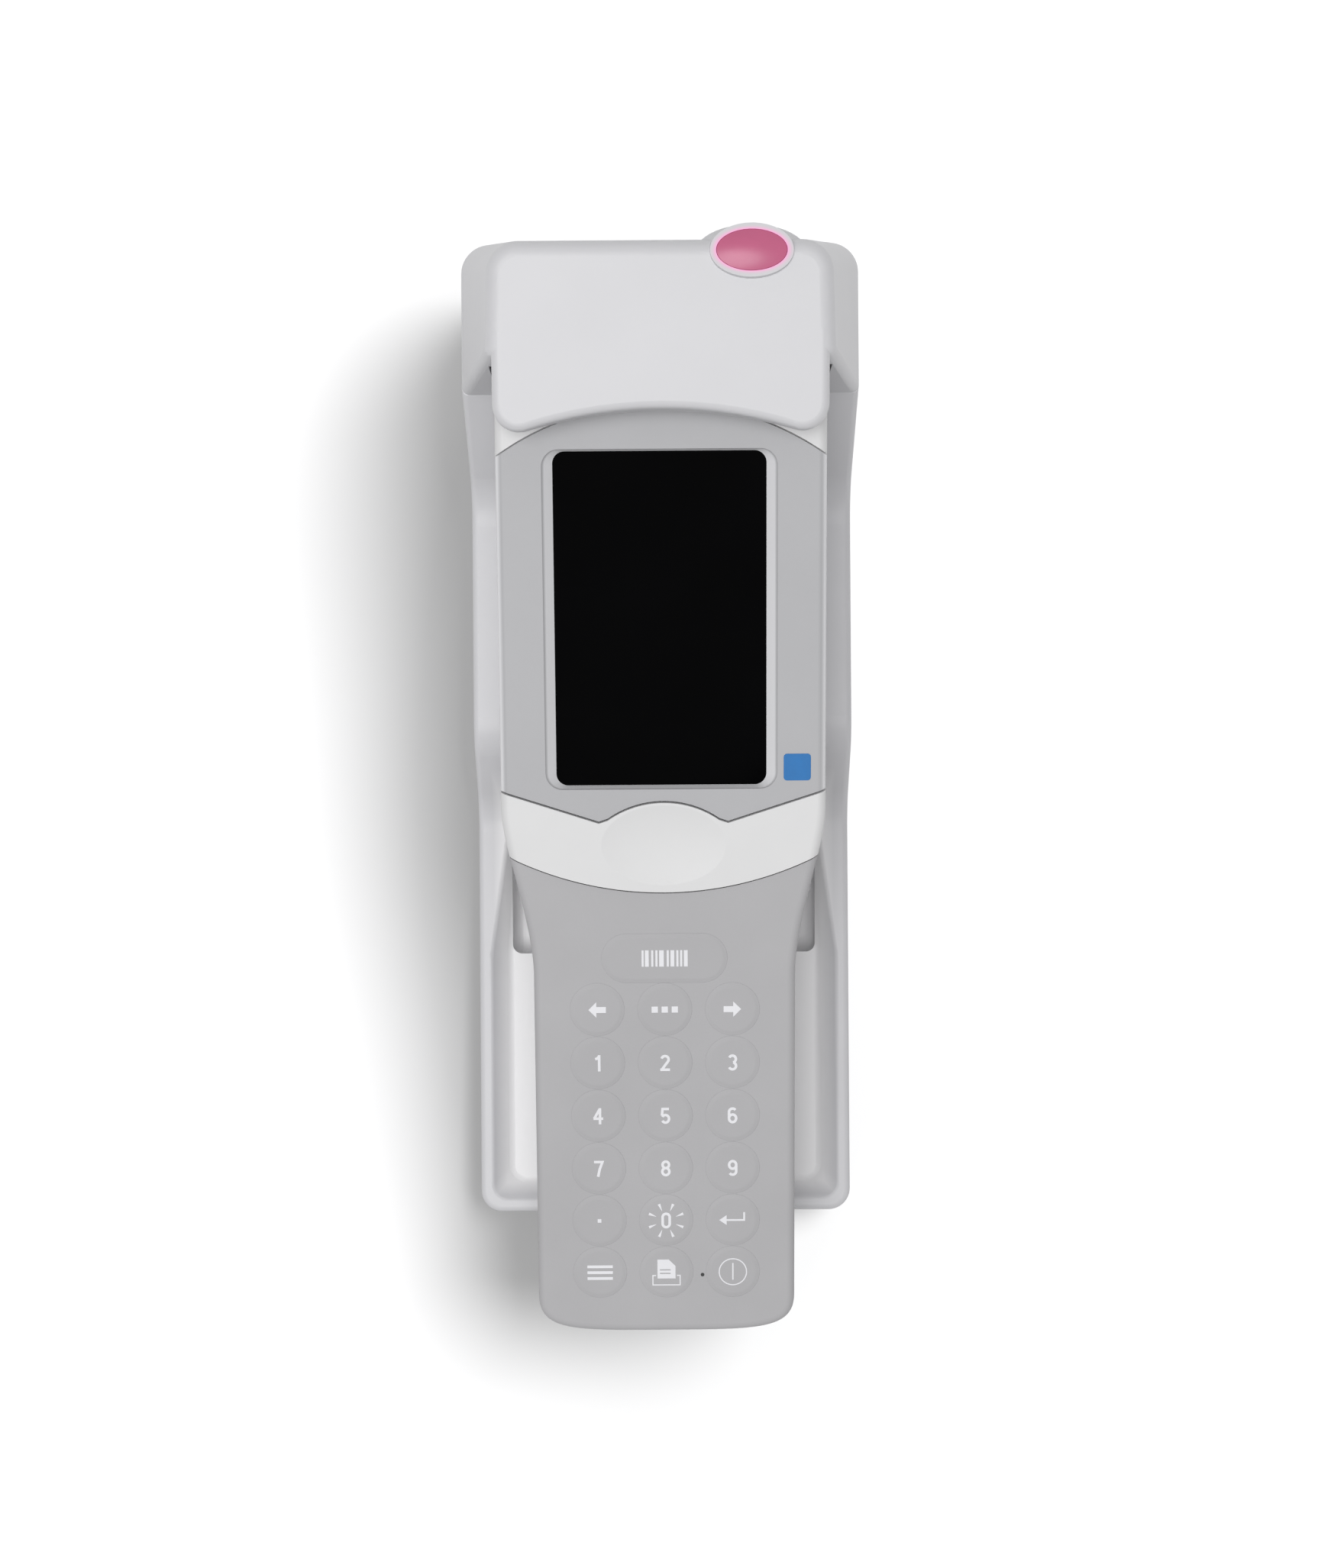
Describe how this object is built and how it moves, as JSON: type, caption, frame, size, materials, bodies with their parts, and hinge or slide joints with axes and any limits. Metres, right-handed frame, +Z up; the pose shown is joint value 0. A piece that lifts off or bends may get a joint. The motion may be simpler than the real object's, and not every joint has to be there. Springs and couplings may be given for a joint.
{
  "type": "handheld blood analyzer",
  "caption": "Handheld analyzer with a screen, a keypad and a cartridge port, lying under the hood of its sloping charging cradle, which has an oval status lens.",
  "frame": {"origin": "on the table, under the middle of the whole set's width and length", "axes": "+Z up, +Y towards the hood and the display end, +X to the right of a user who stands at the keypad end"},
  "size_m": [0.0954, 0.2641, 0.1146],
  "materials": {
    "white_plastic": "fine satin texture",
    "case_plastic": "fine satin texture",
    "bezel_plastic": "fine satin texture",
    "keypad_skin": "matt soft touch",
    "key_skin": "matt soft touch",
    "grey_rubber": "matt",
    "screen_glass": "clear gloss",
    "dark_window": "gloss",
    "pink_lens": "gloss, lit from behind",
    "black_plastic": "satin",
    "board": "satin",
    "steel": "brushed",
    "contact_metal": "plated"
  },
  "bodies": {
    "cradle": {"cradle_shell": "white_plastic", "cradle_base": "white_plastic", "cradle_feet": "grey_rubber", "cradle_screws": "steel", "cradle_board": "board", "ir_window": "dark_window", "ir_transceiver": "black_plastic", "status_lens": "pink_lens", "status_led": "board", "power_jack": "black_plastic", "data_port": "black_plastic", "contact_block": "black_plastic"},
    "analyzer": {"analyzer_feet": "grey_rubber", "analyzer_ir_window": "dark_window", "back_shell": "case_plastic", "barcode_scanner": "black_plastic", "battery_pack": "black_plastic", "beeper": "black_plastic", "cartridge_guide": "black_plastic", "case_screws": "steel", "charge_contacts": "contact_metal", "display_bezel": "bezel_plastic", "display_window": "screen_glass", "drive_motor": "steel", "front_shell": "white_plastic", "guide_rods": "steel", "keypad_board": "board", "keypad_panel": "keypad_skin", "lcd_module": "steel", "main_board": "board", "scanner_window": "dark_window", "thumb_band": "white_plastic"},
    "key_0": {"key_0": "key_skin"},
    "key_1": {"key_1": "key_skin"},
    "key_2": {"key_2": "key_skin"},
    "key_3": {"key_3": "key_skin"},
    "key_4": {"key_4": "key_skin"},
    "key_5": {"key_5": "key_skin"},
    "key_6": {"key_6": "key_skin"},
    "key_7": {"key_7": "key_skin"},
    "key_8": {"key_8": "key_skin"},
    "key_9": {"key_9": "key_skin"},
    "key_enter": {"key_enter": "key_skin"},
    "key_left": {"key_left": "key_skin"},
    "key_menu": {"key_menu": "key_skin"},
    "key_mode": {"key_mode": "key_skin"},
    "key_point": {"key_point": "key_skin"},
    "key_power": {"key_power": "key_skin"},
    "key_print": {"key_print": "key_skin"},
    "key_right": {"key_right": "key_skin"},
    "key_wide": {"key_wide": "key_skin"},
    "battery_door": {"battery_door": "case_plastic"},
    "contact_sled": {"contact_sled": "white_plastic"},
    "lead_screw": {"lead_screw": "steel"},
    "contact_pin_left": {"contact_pin_left": "contact_metal"},
    "contact_pin_right": {"contact_pin_right": "contact_metal"}
  },
  "joints": [
    {"name": "analyzer_lift_out", "type": "slide", "parent": "cradle", "child": "analyzer", "axis": [0, -0.9703, 0.2419], "range_m": [0, 0.15]},
    {"name": "key_0_press", "type": "slide", "parent": "analyzer", "child": "key_0", "axis": [0, 0.1771, -0.9842], "range_m": [0, 0.0008], "stiffness_N_per_m": 500, "springref_m": -0.0005},
    {"name": "key_1_press", "type": "slide", "parent": "analyzer", "child": "key_1", "axis": [0, 0.1771, -0.9842], "range_m": [0, 0.0008], "stiffness_N_per_m": 500, "springref_m": -0.0005},
    {"name": "key_2_press", "type": "slide", "parent": "analyzer", "child": "key_2", "axis": [0, 0.1771, -0.9842], "range_m": [0, 0.0008], "stiffness_N_per_m": 500, "springref_m": -0.0005},
    {"name": "key_3_press", "type": "slide", "parent": "analyzer", "child": "key_3", "axis": [0, 0.1771, -0.9842], "range_m": [0, 0.0008], "stiffness_N_per_m": 500, "springref_m": -0.0005},
    {"name": "key_4_press", "type": "slide", "parent": "analyzer", "child": "key_4", "axis": [0, 0.1771, -0.9842], "range_m": [0, 0.0008], "stiffness_N_per_m": 500, "springref_m": -0.0005},
    {"name": "key_5_press", "type": "slide", "parent": "analyzer", "child": "key_5", "axis": [0, 0.1771, -0.9842], "range_m": [0, 0.0008], "stiffness_N_per_m": 500, "springref_m": -0.0005},
    {"name": "key_6_press", "type": "slide", "parent": "analyzer", "child": "key_6", "axis": [0, 0.1771, -0.9842], "range_m": [0, 0.0008], "stiffness_N_per_m": 500, "springref_m": -0.0005},
    {"name": "key_7_press", "type": "slide", "parent": "analyzer", "child": "key_7", "axis": [0, 0.1771, -0.9842], "range_m": [0, 0.0008], "stiffness_N_per_m": 500, "springref_m": -0.0005},
    {"name": "key_8_press", "type": "slide", "parent": "analyzer", "child": "key_8", "axis": [0, 0.1771, -0.9842], "range_m": [0, 0.0008], "stiffness_N_per_m": 500, "springref_m": -0.0005},
    {"name": "key_9_press", "type": "slide", "parent": "analyzer", "child": "key_9", "axis": [0, 0.1771, -0.9842], "range_m": [0, 0.0008], "stiffness_N_per_m": 500, "springref_m": -0.0005},
    {"name": "key_enter_press", "type": "slide", "parent": "analyzer", "child": "key_enter", "axis": [0, 0.1771, -0.9842], "range_m": [0, 0.0008], "stiffness_N_per_m": 500, "springref_m": -0.0005},
    {"name": "key_left_press", "type": "slide", "parent": "analyzer", "child": "key_left", "axis": [0, 0.1771, -0.9842], "range_m": [0, 0.0008], "stiffness_N_per_m": 500, "springref_m": -0.0005},
    {"name": "key_menu_press", "type": "slide", "parent": "analyzer", "child": "key_menu", "axis": [0, 0.1771, -0.9842], "range_m": [0, 0.0008], "stiffness_N_per_m": 500, "springref_m": -0.0005},
    {"name": "key_mode_press", "type": "slide", "parent": "analyzer", "child": "key_mode", "axis": [0, 0.1771, -0.9842], "range_m": [0, 0.0008], "stiffness_N_per_m": 500, "springref_m": -0.0005},
    {"name": "key_point_press", "type": "slide", "parent": "analyzer", "child": "key_point", "axis": [0, 0.1771, -0.9842], "range_m": [0, 0.0008], "stiffness_N_per_m": 500, "springref_m": -0.0005},
    {"name": "key_power_press", "type": "slide", "parent": "analyzer", "child": "key_power", "axis": [0, 0.1771, -0.9842], "range_m": [0, 0.0008], "stiffness_N_per_m": 500, "springref_m": -0.0005},
    {"name": "key_print_press", "type": "slide", "parent": "analyzer", "child": "key_print", "axis": [0, 0.1771, -0.9842], "range_m": [0, 0.0008], "stiffness_N_per_m": 500, "springref_m": -0.0005},
    {"name": "key_right_press", "type": "slide", "parent": "analyzer", "child": "key_right", "axis": [0, 0.1771, -0.9842], "range_m": [0, 0.0008], "stiffness_N_per_m": 500, "springref_m": -0.0005},
    {"name": "key_wide_press", "type": "slide", "parent": "analyzer", "child": "key_wide", "axis": [0, 0.1771, -0.9842], "range_m": [0, 0.0008], "stiffness_N_per_m": 500, "springref_m": -0.0005},
    {"name": "battery_door_slide", "type": "slide", "parent": "analyzer", "child": "battery_door", "axis": [0, -1, 0], "range_m": [0, 0.008]},
    {"name": "contact_sled_slide", "type": "slide", "parent": "analyzer", "child": "contact_sled", "axis": [0, 0.9842, 0.1771], "range_m": [0, 0.014]},
    {"name": "lead_screw_spin", "type": "hinge", "parent": "analyzer", "child": "lead_screw", "pos_m": [0, -0.09012, 0.04671], "axis": [0, 0.9842, 0.1771], "range_deg": [-1010, 0]},
    {"name": "contact_pin_left_press", "type": "slide", "parent": "cradle", "child": "contact_pin_left", "axis": [0, 0, -1], "range_m": [0, 0.0012], "stiffness_N_per_m": 300, "springref_m": -0.0008},
    {"name": "contact_pin_right_press", "type": "slide", "parent": "cradle", "child": "contact_pin_right", "axis": [0, 0, -1], "range_m": [0, 0.0012], "stiffness_N_per_m": 300, "springref_m": -0.0008}
  ],
  "couplings": [
    {"joint": "lead_screw_spin", "follows": "contact_sled_slide", "rad_per_m": -1256.6}
  ]
}
